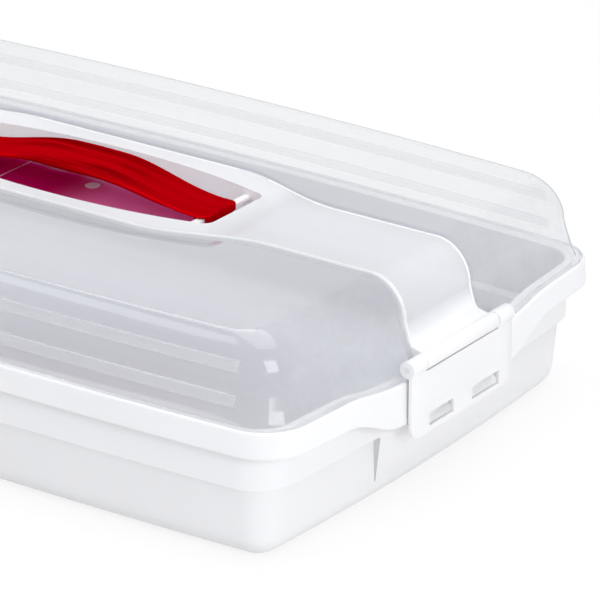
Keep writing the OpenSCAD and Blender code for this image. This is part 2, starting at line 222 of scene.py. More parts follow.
def combine(target, others, operation):
    """Exact boolean of target with the others, which are used up."""
    for other in others:
        modifier = target.modifiers.new(operation, "BOOLEAN")
        modifier.object = other
        modifier.operation = operation
        modifier.solver = "EXACT"
        bake(target)
        bpy.data.objects.remove(other)
    return target


def bake(target):
    """Applies every modifier of an object to its mesh."""
    graph = bpy.context.evaluated_depsgraph_get()
    mesh = bpy.data.meshes.new_from_object(target.evaluated_get(graph))
    old = target.data
    target.modifiers.clear()
    target.data = mesh
    bpy.data.meshes.remove(old)
    return target


def bevel(target, width, segments=3, angle=40):
    """Rounds the edges that are sharper than the angle."""
    modifier = target.modifiers.new("edge", "BEVEL")
    modifier.width = width * MM
    modifier.segments = segments
    modifier.limit_method = "ANGLE"
    modifier.angle_limit = radians(angle)
    modifier.use_clamp_overlap = True
    return bake(target)


def smooth(target, angle=32):
    """Smooth shading, but for edges sharper than the angle."""
    target.data.polygons.foreach_set("use_smooth", [True] * len(target.data.polygons))
    target.data.set_sharp_from_angle(angle=radians(angle))
    return target


# Clear sheet: what it lets through face on and edge on, and of the lamps' light by its walls and by its top.
# The walls' values give way to the top's between the two heights in DOME_TOP, in metres. DOME_FACING says
# where face on gives way to edge on, from 0 to 1. Then its milky ribs, whose haze is partly a painted
# highlight, the fine line over them, which is a painted highlight, and streaks.
DOME_FACE_ON, DOME_EDGE_ON = (0.955, 0.96, 0.965), (0.55, 0.6, 0.6)
WALL_LETS_THROUGH, TOP_LETS_THROUGH = (0.98, 0.98, 0.98), (0.62, 0.65, 0.72)
DOME_TOP = (0.1105, 0.112)
DOME_FACING = (0.66, 0.92)
RIB_HAZE_AND_HIGHLIGHT, RIB_SOFT, RIB_HALF_L = 0.55, 0.5, 192
LINE_Z, LINE_HALF, LINE_SOFT, LINE_PAINTED_HIGHLIGHT = LID_TOP - 0.45, 0.22, 0.1, 0.8
STREAK_STRETCH, STREAK_RANGE, STREAK_MILKY, STREAK_ON_TOP = (6, 70, 70), (0.35, 0.7), (0.14, 0.26), 0.15

# Light: lamp powers in watts, the world's light on surfaces, the floor's paint and its lift towards white
OVERHEAD_POWER, NEAR_LEFT_POWER, NEAR_RIGHT_POWER = 11, 5, 11.5
WORLD_LIGHT, FLOOR_GREY, FLOOR_LIFT, FLOOR_WHITE = 0.52, 0.88, 0.75, 1.05
FLOOR_HALF = 6

# The camera, from a fit to the outline in the photograph
CAMERA_AT = (1192.69, -1491.81, 849.61)
CAMERA_AZIMUTH, CAMERA_ELEVATION = radians(35.39), radians(23.03)
FOCAL_PIXELS, PHOTO_PIXELS, SENSOR = 4064, 600, 36


def make_camera():
    """A camera at CAMERA_AT, turned by the two angles."""
    a, e = CAMERA_AZIMUTH, CAMERA_ELEVATION
    right = Vector((cos(a), sin(a), 0))
    up = Vector((-sin(a) * sin(e), cos(a) * sin(e), cos(e)))
    back = Vector((sin(a) * cos(e), -cos(a) * cos(e), sin(e)))
    data = bpy.data.cameras.new("camera")
    data.sensor_width = SENSOR
    data.lens = FOCAL_PIXELS * SENSOR / PHOTO_PIXELS
    data.clip_end = 20
    camera = bpy.data.objects.new("camera", data)
    turned = Matrix((right, up, back)).transposed().to_4x4()
    camera.matrix_world = Matrix.Translation(Vector(CAMERA_AT) * MM) @ turned
    bpy.context.scene.collection.objects.link(camera)
    bpy.context.scene.camera = camera


def area_lamp(name, at, size, power, aim=(0, 0, 0.05)):
    """A soft lamp aimed at a place, in metres."""
    data = bpy.data.lights.new(name, "AREA")
    data.shape = "RECTANGLE"
    data.size, data.size_y = size
    data.energy = power
    lamp = bpy.data.objects.new(name, data)
    lamp.location = at
    lamp.rotation_euler = (Vector(aim) - Vector(at)).to_track_quat("-Z", "Y").to_euler()
    bpy.context.scene.collection.objects.link(lamp)


class Net:
    """A node tree, with short ways to add to it. A value is a number, a colour or another node's output."""

    def __init__(self, owner, keep=False):
        owner.use_nodes = True
        self.nodes, self.links = owner.node_tree.nodes, owner.node_tree.links
        if not keep:
            self.nodes.clear()

    def feed(self, socket, value):
        """Links a node's output to the socket, or sets the number or the colour."""
        if isinstance(value, bpy.types.NodeSocket):
            self.links.new(value, socket)
        elif isinstance(value, tuple) and len(socket.default_value) == 4:
            socket.default_value = (*value, 1)
        else:
            socket.default_value = value

    def add(self, kind, **values):
        """A new node. Values are for its inputs, with a low line for each space in their names."""
        node = self.nodes.new("ShaderNode" + kind)
        for name, value in values.items():
            self.feed(node.inputs[name.replace("_", " ")], value)
        return node

    def math(self, operation, a, b=0.0):
        node = self.nodes.new("ShaderNodeMath")
        node.operation = operation
        self.feed(node.inputs[0], a)
        self.feed(node.inputs[1], b)
        return node.outputs[0]

    def span(self, value, start, end, low=0.0, high=1.0):
        """Smoothly from low to high as the value goes from start to end."""
        node = self.nodes.new("ShaderNodeMapRange")
        node.interpolation_type = "SMOOTHSTEP"
        for name, number in (("From Min", start), ("From Max", end), ("To Min", low), ("To Max", high)):
            node.inputs[name].default_value = number
        self.links.new(value, node.inputs["Value"])
        return node.outputs[0]

    def mix(self, amount, first, second):
        node = self.nodes.new("ShaderNodeMixRGB")
        self.feed(node.inputs["Fac"], amount)
        self.feed(node.inputs["Color1"], first)
        self.feed(node.inputs["Color2"], second)
        return node.outputs[0]

    def blend(self, amount, first, second):
        node = self.nodes.new("ShaderNodeMixShader")
        self.feed(node.inputs["Fac"], amount)
        self.links.new(first.outputs[0], node.inputs[1])
        self.links.new(second.outputs[0], node.inputs[2])
        return node

    def ray(self, *kinds):
        """1 for a ray of any of these kinds."""
        path = self.nodes.new("ShaderNodeLightPath")
        total = path.outputs["Is " + kinds[0] + " Ray"]
        for kind in kinds[1:]:
            total = self.math("MAXIMUM", total, path.outputs["Is " + kind + " Ray"])
        return total

    def place(self):
        """The object's own X, Y and Z, and all three together."""
        here = self.nodes.new("ShaderNodeTexCoord").outputs["Object"]
        split = self.nodes.new("ShaderNodeSeparateXYZ")
        self.links.new(here, split.inputs[0])
        return [split.outputs[axis] for axis in "XYZ"] + [here]

    def noise(self, here, scale, detail=3, stretch=None):
        """Noise from 0 to 1, finer along an axis with a larger stretch."""
        if stretch:
            mapping = self.nodes.new("ShaderNodeMapping")
            mapping.inputs["Scale"].default_value = stretch
            self.links.new(here, mapping.inputs["Vector"])
            here = mapping.outputs[0]
        return self.add("TexNoise", Vector=here, Scale=scale, Detail=detail).outputs["Fac"]

    def bump(self, height, strength, distance=0.0005):
        return self.add("Bump", Height=height, Strength=strength, Distance=distance).outputs["Normal"]


def make_studio():
    """A pale world that is white to the eye, and three soft lamps."""
    bpy.context.scene.view_settings.view_transform = "Standard"
    world = bpy.data.worlds.new("studio")
    net = Net(world)
    light = net.add("Background", Color=(0.95, 0.96, 1), Strength=WORLD_LIGHT)
    seen = net.add("Background", Color=(1, 1, 1))
    shown = net.blend(net.ray("Camera", "Glossy", "Transmission"), light, seen)
    net.links.new(shown.outputs[0], net.nodes.new("ShaderNodeOutputWorld").inputs["Surface"])
    bpy.context.scene.world = world
    area_lamp("overhead", (0.05, 0.15, 1.4), (1.8, 1.3), OVERHEAD_POWER)
    area_lamp("near_left", (-1.0, -1.15, 1.15), (1.1, 0.75), NEAR_LEFT_POWER)
    area_lamp("near_right", (1.6, -0.75, 0.7), (1.1, 0.8), NEAR_RIGHT_POWER)


def make_floor():
    """A pale floor, lifted towards white for the eye, that keeps the object's shadow."""
    mesh = bpy.data.meshes.new("floor")
    corners = [(x * FLOOR_HALF, y * FLOOR_HALF, 0) for x, y in ((-1, -1), (1, -1), (1, 1), (-1, 1))]
    mesh.from_pydata(corners, [], [(0, 1, 2, 3)])
    floor = bpy.data.objects.new("floor", mesh)
    bpy.context.scene.collection.objects.link(floor)
    material = bpy.data.materials.new("floor")
    net = Net(material)
    paint = net.add("BsdfDiffuse", Color=(FLOOR_GREY, FLOOR_GREY, FLOOR_GREY))
    lift = net.add("Emission", Color=(1, 1, 1), Strength=FLOOR_WHITE)
    amount = net.math("MULTIPLY", net.ray("Camera", "Glossy", "Transmission"), FLOOR_LIFT)
    both = net.blend(amount, paint, lift)
    net.links.new(both.outputs[0], net.nodes.new("ShaderNodeOutputMaterial").inputs["Surface"])
    mesh.materials.append(material)


def plastic(name, color, roughness, bump_scale, bump_strength, **more):
    """Moulded plastic with a fine skin: Principled colour, mottled a little, over a noise bump."""
    material = bpy.data.materials.new(name)
    net = Net(material, keep=True)
    shader = net.nodes["Principled BSDF"]
    shader.inputs["Roughness"].default_value = roughness
    for socket, value in more.items():
        shader.inputs[socket.replace("_", " ")].default_value = value
    here = net.place()[3]
    net.feed(shader.inputs["Normal"], net.bump(net.noise(here, bump_scale), bump_strength))
    cloudy = net.mix(net.noise(here, 18, 2), color, tuple(c * 0.95 for c in color))
    net.feed(shader.inputs["Base Color"], cloudy)
    return material


def within(net, value, half, edge):
    """1 where the value is nearer to 0 than half, in millimetres, fading out over edge."""
    return net.span(net.math("ABSOLUTE", value), (half - edge) * MM, (half + edge) * MM, 1.0, 0.0)


def rib_share(net, x, y, z):
    """1 on the ribs of the long walls and on the painted highlight line along the top's long edges."""
    wide = net.span(net.math("ABSOLUTE", y), 0.112, 0.114)
    low = within(net, net.math("SUBTRACT", z, RIB_LOW_Z * MM), RIB_H / 2, RIB_SOFT)
    high = within(net, net.math("SUBTRACT", z, RIB_HIGH_Z * MM), RIB_H / 2, RIB_SOFT)
    fine = within(net, net.math("SUBTRACT", z, LINE_Z * MM), LINE_HALF, LINE_SOFT)
    painted_highlight_line = net.math("MULTIPLY", fine, LINE_PAINTED_HIGHLIGHT)
    total = net.math("MAXIMUM", net.math("MAXIMUM", low, high), painted_highlight_line)
    return net.math("MULTIPLY", net.math("MULTIPLY", total, wide), within(net, x, RIB_HALF_L, 1.5))


def clear_plastic():
    """Clear sheet: see-through face on, glossy at a glancing angle, milky on its ribs partly as a painted
    highlight, with a painted highlight line along the top's long edges, faintly streaky.
    """
    material = bpy.data.materials.new("dome_clear")
    net = Net(material)
    x, y, z, here = net.place()
    facing = net.add("LayerWeight", Blend=0.5).outputs["Facing"]
    edge_on = net.span(facing, *DOME_FACING)
    seen = net.mix(edge_on, DOME_FACE_ON, DOME_EDGE_ON)
    top = net.span(z, *DOME_TOP)
    lit = net.mix(top, WALL_LETS_THROUGH, TOP_LETS_THROUGH)
    clear = net.add("BsdfTransparent", Color=net.mix(net.ray("Shadow", "Diffuse"), seen, lit))
    haze = net.blend(0.5, net.add("BsdfDiffuse", Color=(0.8, 0.81, 0.82)),
                     net.add("BsdfTranslucent", Color=(0.9, 0.91, 0.92)))
    streaks = net.noise(here, 1.0, 4, STREAK_STRETCH)
    streaky = net.span(streaks, *STREAK_RANGE, *STREAK_MILKY)
    cloudy = net.math("MULTIPLY", streaky, net.span(z, *DOME_TOP, 1.0, STREAK_ON_TOP))
    # The ribs' haze stands partly for their bright reflections, a painted highlight. The fine line along the
    # top is wholly a painted highlight.
    milky = net.math("MAXIMUM", net.math("MULTIPLY", rib_share(net, x, y, z), RIB_HAZE_AND_HIGHLIGHT), cloudy)
    shown = net.math("SUBTRACT", 1.0, net.ray("Shadow", "Diffuse"))
    body = net.blend(net.math("MULTIPLY", milky, shown), clear, haze)
    gloss = net.add("BsdfGlossy", Color=net.mix(edge_on, (1, 1, 1), (0.7, 0.74, 0.74)), Roughness=0.08,
                    Normal=net.bump(streaks, 0.03, 0.001))
    mirror = net.math("ADD", net.math("MULTIPLY", net.math("POWER", facing, 3.0), 0.8), 0.05)
    surface = net.blend(mirror, body, gloss)
    net.links.new(surface.outputs[0], net.nodes.new("ShaderNodeOutputMaterial").inputs["Surface"])
    return material


def finish_piece(target, body, slot, material, *nodes):
    """Gives a piece its material, and its place in the frame."""
    target.data.materials.clear()
    target.data.materials.append(material)
    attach(target, body)
    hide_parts(*nodes)


# The tray's roundings: the turns of its foot, half the ledge's height, the skirt's lower edge's radius, and
# the rolled top edge's place, width and height
FOOT_TURNS = [radians(t) for t in spread(90, 0, 10)]
LEDGE_H = 0.9
SKIRT_EDGE = 0.9
ROLL_IN, ROLL_W, ROLL_H = 0.6, 1.4, 1.6


def tub(inset, z, panel=0.0):
    """The lower wall at height z, drawn in by inset, with its end panel standing out by panel."""
    pinch = PANEL_PINCH * max(LEDGE_Z - z, 0) / (LEDGE_Z - FOOT_R)
    return ring(LOWER_L, LOWER_W, RIM_R - OVER_Y - LEDGE_STEP, inset, z, 0, panel, min(pinch, PANEL_PINCH))


def upper_wall(inset, z):
    """The wall between the ledge and the rim at height z, drawn in by inset."""
    return ring(UPPER_L, UPPER_W, RIM_R - OVER_Y, inset, z, DIP_TOP)


def rim_ring(inset, z, dip=DIP_TOP):
    """The rim's outline at height z, drawn in by inset."""
    return ring(RIM_L, RIM_W, RIM_R, inset, z, dip)


def make_tray():
    """The white tub: one closed skin, up the outside, over the rim and down the inside."""
    outside = [tub(TUB_LEAN + FOOT_R * (1 - cos(t)), FOOT_R * (1 - sin(t))) for t in FOOT_TURNS]
    inner_r = FOOT_R - TRAY_WALL
    inside = [tub(TUB_LEAN + TRAY_WALL + inner_r * (1 - cos(t)), TRAY_WALL + inner_r * (1 - sin(t)))
              for t in reversed(FOOT_TURNS)]
    ledge = []
    for t in (0, 0.2, 0.4, 0.6, 0.8, 1):
        share = (1 - cos(pi * t)) / 2
        ledge.append(tub(-LEDGE_STEP * share, LEDGE_Z - LEDGE_H + 2 * LEDGE_H * t, LEDGE_STEP * (1 - share)))
    inner_ledge = [tub(TRAY_WALL - LEDGE_STEP * (1 + cos(pi * t)) / 2, LEDGE_Z + LEDGE_H - 2 * LEDGE_H * t,
                       LEDGE_STEP * (1 - cos(pi * t)) / 2)
                   for t in (0, 0.5, 1)]
    under_rim = [upper_wall(-0.6, UNDER_Z - 1), upper_wall(-1.6, UNDER_Z),
                 rim_ring(TRAY_WALL, UNDER_Z), rim_ring(TRAY_WALL, SKIRT_LOW + 0.3, DIP_LOW)]
    skirt_edge = [rim_ring(SKIRT_EDGE * (1 - sin(t)), SKIRT_LOW + SKIRT_EDGE * (1 - cos(t)), DIP_LOW)
                  for t in (0, pi / 6, pi / 3, pi / 2)]
    skirt_edge += [rim_ring(0.06, SKIRT_LOW + 2.2, DIP_LOW), rim_ring(0.35, SKIRT_LOW + 4.2, DIP_LOW - 1.5)]
    top_edge = [rim_ring(ROLL_IN + ROLL_W * (1 - cos(t)), RIM_Z - ROLL_H * (1 - sin(t)))
                for t in [radians(d) for d in (0, 18, 36, 54, 72, 90)]]
    seat = [rim_ring(2.1, RIM_Z - 0.15), rim_ring(2.2, SEAT_Z),
            upper_wall(TRAY_WALL - 1.2, SEAT_Z), upper_wall(TRAY_WALL - 0.6, SEAT_Z - 0.6)]
    rings = outside + ledge + under_rim + skirt_edge + top_edge + seat + inner_ledge + inside
    tray = smooth(loft("tray_shell", rings), 40)
    white = plastic("tray_white", (0.91, 0.91, 0.92), 0.32, 900, 0.06)
    finish_piece(tray, "tray", "tray_white", white, "base_tray")
    # Painted shade: the outward side faces of the end panel's step, below the ledge, get a darker copy of
    # the white.
    tray.data.materials.append(plastic("tray_white_shaded", (0.6, 0.6, 0.61), 0.4, 900, 0.06))
    for face in tray.data.polygons:
        x, y, z = [v / MM for v in face.center]
        on_panel_edge = PANEL_HALF - 10 < abs(y) < PANEL_HALF + 1 and abs(x) > LOWER_L / 2 - 12
        sideways = abs(face.normal.y) > 0.7
        inner = face.normal.x * x <= -0.01 * abs(x)
        face.material_index = 1 if on_panel_edge and sideways and not inner and z < LEDGE_Z + 1 else 0


def lean_at(z):
    """How far the dome's wall leans in at height z."""
    return LID_LEAN * (min(z, CROWN_Z) - FLANGE_TOP)


def turn_at(z):
    """How far the rounding at the top has turned at height z."""
    return 0 if z <= CROWN_Z else asin(min((z - CROWN_Z) / ROUND_Z, 1))


def dome_ring(z, rib=0.0):
    """The dome's outline at height z, with its long walls standing out by rib."""
    d = lean_at(z)
    k = 1 - cos(turn_at(z))
    r = max(LID_R - d - 0.4 * ROUND_Y * k, 3)
    points = outline(LID_L - 2 * (d + ROUND_X * k), LID_W - 2 * (d + ROUND_Y * k), r, 0, rib)
    return [(x, y, z) for x, y in points]


def rib_rings(z):
    """A rounded rib round the long walls at height z."""
    return [dome_ring(z + RIB_H / 2 * side * sin(t), RIB_OUT * cos(t) ** 0.5)
            for side, turns in ((-1, (89.9, 70, 50, 25)), (1, (0, 25, 50, 70, 89.9)))
            for t in [radians(a) for a in turns]]


def band_half_at(x):
    """Half the band's width at x."""
    return BAND_HALF + (BAND_BULGE - BAND_HALF) * wave(x, BULGE_FLAT, BULGE_END)


BAND_XS = spread(0, 60, 8) + spread(BULGE_FLAT, BULGE_END, 24) + [170, 200, BIG]


def band_plan(grow=0.0):
    """The band from above, grown by grow."""
    xs = both_ways(BAND_XS)
    return [(x, -band_half_at(x) - grow) for x in xs] + [(-x, band_half_at(x) + grow) for x in xs]


def skin_path(drop):
    """Side view of the dome's skin sunk by drop, from the top to the foot."""
    r = ROUND_X - drop
    path = [(LID_L / 2 - lean_at(CROWN_Z) - ROUND_X + r * cos(t), CROWN_Z + (ROUND_Z - drop) * sin(t))
            for t in [radians(a) for a in spread(90, 0, 24)]]
    return path + [(LID_L / 2 - drop, FLANGE_TOP)]


def under_skin(name, drop, low):
    """What lies under the dome's skin sunk by drop, down to the height low."""
    path = [p for p in skin_path(drop) if p[1] > low]
    foot = path[-1]
    path.append((foot[0] + LID_LEAN * (foot[1] - low), low))
    return side_prism(name, [(-x, z) for x, z in path] + [(x, z) for x, z in reversed(path)], -BIG, BIG)


def band_space(drop, grow, low):
    """The room that the band takes out of the dome."""
    space = prism("space", band_plan(grow), low, BIG)
    return combine(space, [under_skin("under", drop, low - 2)], "DIFFERENCE")


def round_side(cx, cz, r, steps=40):
    return [(cx + r * cos(2 * pi * i / steps), cz + r * sin(2 * pi * i / steps)) for i in range(steps)]


def opening_half_at(x, grow=0.0):
    """Half the width of the grip opening at x."""
    return (WELL_B + grow) * sqrt(1 - (x / (WELL_A + grow + WELL_RUN)) ** 2)


def grip_opening(name, grow, z0, z1):
    """The grip opening, grown by grow: two bowed sides cut off at the ends, with rounded corners."""
    a, r = WELL_A + grow, WELL_R + grow
    cy = opening_half_at(a - r, grow) - r
    quarter = [(a - r + r * cos(t), cy + r * sin(t)) for t in [radians(d) for d in spread(0, 78, 12)]]
    quarter += [(x, opening_half_at(x, grow)) for x in spread(a - r, 0, 24)]
    mirrored = [(-x, y) for x, y in reversed(quarter[:-1])]
    half = quarter + mirrored
    return prism(name, half + [(-x, -y) for x, y in half], z0, z1)


FLANGE_EDGE = 0.5


def make_dome():
    """The clear dome: foot flange, ribbed walls and rounded top, with room for the band and the grip."""
    flange = [ring(LID_L, LID_W, LID_R, inset, z, DIP_TOP)
              for inset, z in ((LID_WALL, FOOT_Z), (-FLANGE_W + FLANGE_EDGE, FOOT_Z),
                               (-FLANGE_W, FOOT_Z + FLANGE_EDGE), (-FLANGE_W, FLANGE_TOP - FLANGE_EDGE),
                               (-FLANGE_W + FLANGE_EDGE, FLANGE_TOP), (-0.7, FLANGE_TOP),
                               (-0.1, FLANGE_TOP + 0.6))]
    wall = rib_rings(RIB_LOW_Z) + [dome_ring(CROWN_Z)] + rib_rings(RIB_HIGH_Z)
    crown = [dome_ring(CROWN_Z + ROUND_Z * sin(t)) for t in [radians(a) for a in spread(34, 90, 16)]]
    dome = loft("dome_shell", flange + wall + crown)
    combine(dome, [band_space(BAND_DROP, RUN_GAP, BAND_LOW),
                   grip_opening("well", 3, FLOOR_Z - KEEPER_T - 0.2, BIG)], "DIFFERENCE")
    open_below(dome)
    smooth(dome)
    finish_piece(dome, "lid", "dome_clear", clear_plastic(), "lid_dome")


def open_below(dome):
    """Takes off the fan that closes the foot, which leaves the thin moulded sheet."""
    bm = bmesh.new()
    bm.from_mesh(dome.data)
    middle = [v for v in bm.verts if v.co.xy.length < MM and v.co.z < FLANGE_TOP * MM]
    bmesh.ops.delete(bm, geom=middle, context="VERTS")
    bm.to_mesh(dome.data)
    bm.free()


def path_with_ends(drop):
    """Side view of the sunk skin, from the pin's height at one end, over the top, to the other end."""
    low = PIN_Z - 3
    half = [p for p in skin_path(drop) if p[1] > low]
    foot = half[-1]
    half.append((foot[0] + LID_LEAN * (foot[1] - low), low))
    full = [(x, z) for x, z in reversed(half)]
    flat = [(x, LID_TOP - drop) for x in both_ways([v for v in BAND_XS if v < half[0][0] - 2])[::-1]]
    return full + flat + [(-x, z) for x, z in half]


def band_section(half, thick):
    """Across the band: places in Y, and heights over its lower face, with a bead along either edge."""
    edge_r = 0.5
    bead = [(-half + BEAD_W + 0.6, 0), (-half + BEAD_W, BEAD_H * 0.35),
            (-half + BEAD_W * 0.8, BEAD_H * 0.8), (-half + BEAD_W / 2, BEAD_H),
            (-half + BEAD_W * 0.22, BEAD_H * 0.8), (-half, 0.1)]
    section = [(y, thick + h) for y, h in bead] + [(-half, 0.4), (-half + edge_r, 0)]
    return section + [(half - edge_r, 0), (half, 0.4)] + [(-y, thick + h) for y, h in reversed(bead)]


def make_band():
    """The milky band over the dome, with the well of the grip, its two cross bars and the knuckles."""
    top, low = path_with_ends(BAND_SUNK), path_with_ends(BAND_DROP)
    rows = []
    for (xt, zt), (xb, zb) in zip(top, low):
        dx, dz = xt - xb, zt - zb
        size = sqrt(dx * dx + dz * dz)
        nx, nz = dx / size, dz / size
        section = band_section(band_half_at(xt), size)
        rows.append([(xb + nx * h, y, zb + nz * h) for y, h in section])
    band = strip("band_sheet", rows)
    wall = grip_opening("well_wall", SKIRT_T, FLOOR_Z, BAND_TOP - 0.05)
    combine(band, [wall] + [band_knuckle(s) for s in (1, -1)], "UNION")
    combine(band, [grip_opening("well", 0, FLOOR_Z - 1, BIG)], "DIFFERENCE")
    combine(band, [cross_bar(s) for s in (1, -1)], "UNION")
    combine(band, [pin_hole(s, PIN_PLAY) for s in (1, -1)], "DIFFERENCE")
    smooth(band, 30)
    finish_piece(band, "lid", "band_milky", milky_band(), "carry_band")
    band.data.materials.append(plastic("band_white_and_bead_highlight", (0.96, 0.96, 0.965), 0.38, 1200, 0.1, Alpha=0.95))
    # The faces along the band's edges, on its beads, get the opaque white as a painted highlight. The well's
    # wall and the low ends get it as their own whiter plastic.
    for face in band.data.polygons:
        x, y, z = [v / MM for v in face.center]
        in_well = z < BAND_TOP - 0.5 and abs(x) < WELL_A + SKIRT_T + 1 and z > FLOOR_Z - 1
        low_end = z < PIN_Z + 11 and abs(x) > LID_L / 2 - 12
        on_bead_highlight = abs(y) > band_half_at(x) - BEAD_HIGHLIGHT_W
        face.material_index = 1 if in_well or low_end or on_bead_highlight else 0


# How much the band covers round the grip opening, over the ends and where it turns down, from 0 to 1, and
# how wide the painted highlight along its edges is, in millimetres
COVER_DOUBLED, COVER_SINGLE, COVER_LOW = 0.75, 0.5, 0.95
BEAD_HIGHLIGHT_W = 1.7


def milky_band():
    """Translucent sheet, whiter round the grip opening where it is doubled."""
    material = plastic("band_milky", (0.94, 0.945, 0.965), 0.42, 1500, 0.12, Specular_IOR_Level=0.3)
    net = Net(material, keep=True)
    x, _, z, _ = net.place()
    doubled = net.span(net.math("ABSOLUTE", x), 0.095, 0.112, COVER_DOUBLED, COVER_SINGLE)
    low = net.span(z, 0.08, 0.1, COVER_LOW, 0.0)
    net.feed(net.nodes["Principled BSDF"].inputs["Alpha"], net.math("MAXIMUM", doubled, low))
    return material


def root_at(z):
    """X of the band's inner face on the leaning end wall."""
    return LID_L / 2 - BAND_DROP - LID_LEAN * (z - FLANGE_TOP)


def band_knuckle(side):
    """The round knuckle at the band's end, on its web."""
    profile = [(root_at(PIN_Z - 4), PIN_Z - 4), (PIN_X, PIN_Z - KNUCKLE_R + 0.2),
               (PIN_X, PIN_Z + KNUCKLE_R - 0.2), (PIN_X - 2, PIN_Z + KNUCKLE_R - 0.4),
               (root_at(PIN_Z + 5) + BAND_T + 1.2, PIN_Z + 5),
               (root_at(PIN_Z + 8) + BAND_T, PIN_Z + 8), (root_at(PIN_Z + 8), PIN_Z + 8)]
    web = side_prism("web", [(side * x, z) for x, z in profile], -BAND_HALF, BAND_HALF)
    half = EAR_IN - RUN_GAP
    barrel = side_prism("barrel", round_side(side * PIN_X, PIN_Z, KNUCKLE_R), -half, half)
    return combine(web, [bevel(barrel, 0.5)], "UNION")


def pin_hole(side, play):
    half = CLIP_W / 2 + 1
    return side_prism("hole", round_side(side * PIN_X, PIN_Z, PIN_D / 2 + play), -half, half)


def cross_bar(side):
    """The bar that a hook of the handle goes round."""
    bar = side_prism("bar", [(side * BAR_X + x, BAR_TOP + z) for x, z in
                             ((-BAR_W / 2, -BAR_T), (BAR_W / 2, -BAR_T), (BAR_W / 2, 0), (-BAR_W / 2, 0))],
                     -opening_half_at(BAR_X) - 1, opening_half_at(BAR_X) + 1)
    return bevel(bar, 0.6)


# The grip's floor: tints of what shows through its clear raspberry, and the paler tint towards its long
# sides
KEEPER_DEEP, KEEPER_CLOUDED, KEEPER_PALE = (0.66, 0.004, 0.2), (0.9, 0.3, 0.58), (0.84, 0.82, 0.87)
BOSS_AT, BOSS_R, BOSS_H, PALE_LINE_X = (2.5, 3), 4, 0.5, -44.5


def make_keeper():
    """The clear raspberry plate under the grip, with a small round boss and a painted highlight in a pale
    line across it.
    """
    plate = bevel(grip_opening("keeper_plate", SKIRT_T, FLOOR_Z - KEEPER_T, FLOOR_Z), 0.3, 2)
    boss = prism("boss", round_side(0, 0, BOSS_R, 48), FLOOR_Z - 0.6, FLOOR_Z + BOSS_H)
    boss.data.transform(Matrix.Translation(Vector((*BOSS_AT, 0)) * MM))
    keeper = smooth(combine(plate, [bevel(boss, 0.3, 2)], "UNION"))
    material = bpy.data.materials.new("keeper_raspberry")
    net = Net(material)
    x, y, z, here = net.place()
    clouded = net.mix(net.span(x, -0.016, 0.02), KEEPER_DEEP, KEEPER_CLOUDED)
    wander = net.math("MULTIPLY", net.math("SUBTRACT", net.noise(here, 60, 2), 0.5), 0.012)
    far = net.span(net.math("ADD", y, wander), 0.008, 0.02)
    near = net.span(net.math("SUBTRACT", wander, y), 0.016, 0.026)
    # Painted highlight: a pale line painted straight across the plate.
    painted_line_highlight = net.math("MULTIPLY", within(net, net.math("SUBTRACT", x, PALE_LINE_X * MM), 0.5, 0.2), 0.6)
    boss_top = net.span(z, (FLOOR_Z + 0.2) * MM, (FLOOR_Z + 0.4) * MM, 0.0, 0.9)
    pale = net.math("MAXIMUM", net.math("MAXIMUM", far, near), net.math("MAXIMUM", painted_line_highlight, boss_top))
    color = net.mix(pale, clouded, KEEPER_PALE)
    seen_through = net.add("BsdfTransparent", Color=color)
    body = net.add("BsdfDiffuse", Color=color, Normal=net.bump(net.noise(here, 300), 0.05))
    surface = net.blend(net.span(pale, 0.0, 1.0, 0.35, 0.8), seen_through, body)
    net.links.new(surface.outputs[0], net.nodes.new("ShaderNodeOutputMaterial").inputs["Surface"])
    finish_piece(keeper, "lid", "keeper_raspberry", material, "handle_keeper")


def grip_z(x):
    """Height of the grip's top: an arch, with the tips turned up a little."""
    past = max(abs(x) - TIP_RISE_FROM, 0) / TIP_RISE_RUN
    return FOOT_TOP + ARCH_RISE * wave(x, ARCH_FLAT, ARCH_END) + TIP_RISE * past ** 2


def grip_half_at(x):
    """Half the grip's width: widest in the middle, with round corners at the tips."""
    past = abs(x) - (GRIP_L / 2 - TIP_R)
    if past > 0:
        return WAIST_HALF - TIP_R + sqrt(max(TIP_R * TIP_R - past * past, 0))
    return WAIST_HALF + (GRIP_HALF - WAIST_HALF) * wave(x, 0, WAIST_AT)


def grip_section(half, thick):
    """Across the grip: places in Y, and heights over its top line, crowned and with round edges."""
    crown = 0.9 * min(half / GRIP_HALF, 1)
    r = min(1.3, half * 0.45)
    turns = [radians(a) for a in spread(180, 90, 5)]
    upper = [(-half + r + r * cos(t), -crown - r + r * sin(t)) for t in turns]
    middle = [(y * (half - r), -crown * (y * y)) for y in (-0.85, -0.6, -0.3, 0, 0.3, 0.6, 0.85)]
    lower = [(-half + 0.3, -thick + 0.25), (-half + r, -thick), (-half * 0.5, -thick), (0, -thick)]
    section = upper + middle + [(-y, h) for y, h in reversed(upper)]
    return section + [(-y, h) for y, h in lower] + list(reversed(lower[:-1]))


def make_handle():
    """The red arch with a hook and a turned-down lip at either foot."""
    tongue_t = FOOT_TOP - (BAR_TOP + REST_GAP)
    corner = [GRIP_L / 2 - TIP_R * (1 - sin(t)) for t in [radians(a) for a in spread(5, 90, 10)]]
    rows = []
    for x in both_ways(spread(0, 80, 28) + corner):
        thick = tongue_t + (GRIP_T - tongue_t) * wave(x, 50, 72)
        rows.append([(x, y, grip_z(x) + h) for y, h in grip_section(grip_half_at(x), thick)])
    grip = strip("grip", rows)
    combine(grip, [foot_hook(s) for s in (1, -1)] + [foot_lip(s) for s in (1, -1)], "UNION")
    smooth(grip, 38)
    finish_piece(grip, "handle", "handle_red", glossy_red("handle_red", 1.0), "carry_handle")
    # Painted highlight: the grip's rounded edges get a brighter copy of the red.
    grip.data.materials.append(glossy_red("handle_red_painted_highlight", 1.35))
    for face in grip.data.polygons:
        face.material_index = 1 if 0.3 < face.normal.z < 0.93 else 0


